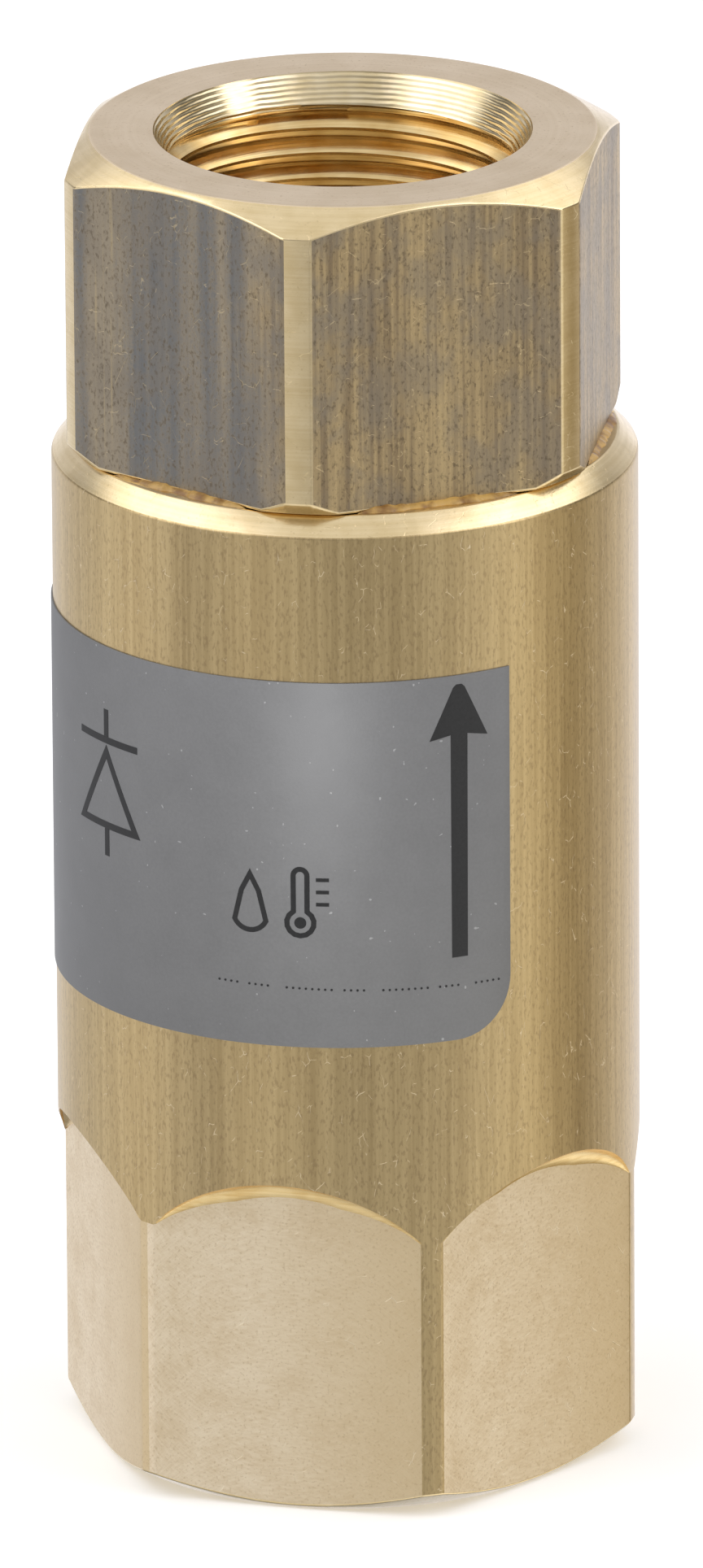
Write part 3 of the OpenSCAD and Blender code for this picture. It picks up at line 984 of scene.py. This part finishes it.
def floor_paint(start):
    """Matt white card, not there when it is looked at from below."""
    x, y, _, _ = parts(start)
    cloud = grain(start, x * 0.01, y * 0.01, 0)
    from_below = start.add("NewGeometry", {}, {}, out="Backfacing")
    return {"Base Color": mixed(cloud, (0.92, 0.92, 0.92), (0.94, 0.94, 0.94)), "Roughness": 0.9,
            "Emission Color": (1, 1, 1, 1), "Emission Strength": 0.2, "Alpha": 1 - from_below}


floor_mesh = bpy.data.meshes.new("floor")
floor_skin = bmesh.new()
bmesh.ops.create_grid(floor_skin, x_segments=1, y_segments=1, size=3)
floor_skin.to_mesh(floor_mesh)
floor_skin.free()
floor_mesh.materials.append(made_of("floor_paint", floor_paint))
floor = bpy.data.objects.new("floor", floor_mesh)
floor.location.z = -0.02 * MM           # just clear of the end face
bpy.context.scene.collection.objects.link(floor)
# the tent and the lamps light the valve, and the floor only catches its shadow
floor.visible_glossy = False
floor.visible_diffuse = False
floor.visible_shadow = False

world = bpy.data.worlds.new("studio")
bpy.context.scene.world = world
world.use_nodes = True
world.node_tree.nodes.clear()
sky = Sock(world.node_tree)
way = sky.add("TexCoord", {}, {}, out="Generated")
dx, dy, dz = (sky.add("SeparateXYZ", {}, {0: way}, out=axis) for axis in "XYZ")
bearing = sky.math("ARCTAN2", dx, dy * -1) - math.radians(VIEW_BEARING)
compass = sky.math("WRAP", bearing / math.tau, 0, 1)


def ring_of(stops):
    """Brightness round the horizon, from a list of (bearing, colour) that ends where it starts."""
    return sky.add("ValToRGB", {"stops": [(b / 360, c) for b, c in stops]}, {0: compass})


# what the upright sides mirror: cards in front and at the back left, white between them
LOW_RING = [(0, (0.44, 0.44, 0.44)), (35, (0.52, 0.52, 0.52)), (60, (0.86, 0.86, 0.86)),
            (80, (0.82, 0.78, 0.69)), (102, (0.27, 0.22, 0.13)), (122, (0.68, 0.66, 0.64)),
            (160, (1.15, 1.17, 1.3)), (200, (0.97, 0.98, 1.03)), (235, (0.68, 0.69, 0.73)),
            (270, (0.92, 0.92, 0.94)), (300, (0.44, 0.44, 0.46)), (320, (0.76, 0.76, 0.76)),
            (340, (0.60, 0.60, 0.60)), (360, (0.44, 0.44, 0.44))]
# what the end face, the crowned edges and the mouth of the port mirror
MID_RING = [(0, (0.45, 0.45, 0.45)), (18, (0.50, 0.50, 0.50)), (35, (0.60, 0.60, 0.60)),
            (58, (0.35, 0.34, 0.32)), (64, (2.4, 2.4, 2.4)), (76, (2.4, 2.4, 2.4)),
            (82, (0.20, 0.20, 0.18)), (120, (0.10, 0.10, 0.10)), (145, (0.66, 0.66, 0.70)),
            (215, (0.66, 0.66, 0.70)), (240, (0.10, 0.10, 0.10)), (256, (0.15, 0.15, 0.15)),
            (266, (1.3, 1.3, 1.3)), (315, (1.2, 1.2, 1.2)), (330, (0.30, 0.30, 0.30)),
            (360, (0.45, 0.45, 0.45))]
# bright panels high on the left and right, with a gap in front and one behind
HIGH_RING = [(0, (0.65, 0.65, 0.65)), (30, (0.7, 0.7, 0.7)), (60, (2.4, 2.4, 2.6)),
             (120, (1.8, 1.8, 1.8)), (180, (0.4, 0.4, 0.4)), (240, (1.7, 1.7, 1.7)),
             (300, (2.4, 2.4, 2.6)), (330, (0.7, 0.7, 0.7)), (360, (0.65, 0.65, 0.65))]
# what comes back off the white floor, more of it from the right
DOWN_RING = [(0, (0.90, 0.89, 0.86)), (90, (1.35, 1.32, 1.24)), (180, (0.40, 0.40, 0.40)),
             (230, (0.35, 0.35, 0.35)), (330, (0.90, 0.89, 0.86)), (360, (0.90, 0.89, 0.86))]
OVERHEAD = (0.83, 0.83, 0.83)           # the tent's roof
# each ring gives way to the next between two heights, given as the sine of the elevation
glow = mixed(between(dz, -0.1, 0.2), ring_of(LOW_RING), ring_of(MID_RING))
glow = mixed(between(dz, 0.38, 0.62), glow, ring_of(HIGH_RING))
glow = mixed(between(dz, 0.75, 0.93), glow, OVERHEAD)
glow = mixed(between(dz * -1, 0.40, 0.75), glow, ring_of(DOWN_RING))
lit = sky.add("Background", {}, {"Color": glow, "Strength": 1.0})
plain = sky.add("Background", {}, {"Color": (1, 1, 1, 1), "Strength": 1.0})
seen = sky.add("LightPath", {}, {}, out="Is Camera Ray")
both = sky.add("MixShader", {}, {0: seen, 1: lit, 2: plain})
sky.add("OutputWorld", {}, {"Surface": both})


def facing(bearing, rise):
    """The direction from the valve towards a bearing to the camera's right, and a rise."""
    a, e = math.radians(bearing + VIEW_BEARING), math.radians(rise)
    return Vector((math.sin(a) * math.cos(e), -math.cos(a) * math.cos(e), math.sin(e)))


LAMP_AWAY = 0.9


def lamp(name, towards, watts, side):
    """A soft square lamp, hung in a direction from the valve's middle."""
    data = bpy.data.lights.new(name, "AREA")
    data.shape = "RECTANGLE"
    data.size, data.size_y = side, side
    data.energy = watts
    light = bpy.data.objects.new(name, data)
    light.location = towards * LAMP_AWAY + Vector((0, 0, AIM_HEIGHT))
    light.rotation_mode = "QUATERNION"
    light.rotation_quaternion = (-towards).to_track_quat("-Z", "Y")
    light.visible_camera = False
    bpy.context.scene.collection.objects.link(light)
    return light


# the key gives the shadow and lights what isn't metal, and nothing mirrors it
key = lamp("key", facing(-40, 50), 0.6, 0.6)
key.visible_glossy = False
# a small lamp in front that lights the label alone
spot = lamp("spot", facing(-9, 0), 2.3, 0.1)
spot.light_linking.receiver_collection = bpy.data.collections.new("lit_by_spot")
spot.light_linking.receiver_collection.objects.link(label)

camera_data = bpy.data.cameras.new("camera")
camera_data.lens = CAMERA_LENS
camera_data.sensor_width = 36
camera_data.clip_end = 10
camera = bpy.data.objects.new("camera", camera_data)
middle = Vector((0, 0, AIM_HEIGHT))
camera.location = middle + facing(0, VIEW_RISE) * CAMERA_FAR
aim = middle + facing(90, 0) * AIM_SIDE
tilt = Quaternion((0, 0, 1), math.radians(CAMERA_ROLL))
camera.rotation_mode = "QUATERNION"
camera.rotation_quaternion = (aim - camera.location).to_track_quat("-Z", "Y") @ tilt
bpy.context.scene.collection.objects.link(camera)
bpy.context.scene.camera = camera
bpy.context.scene.view_settings.view_transform = "Standard"
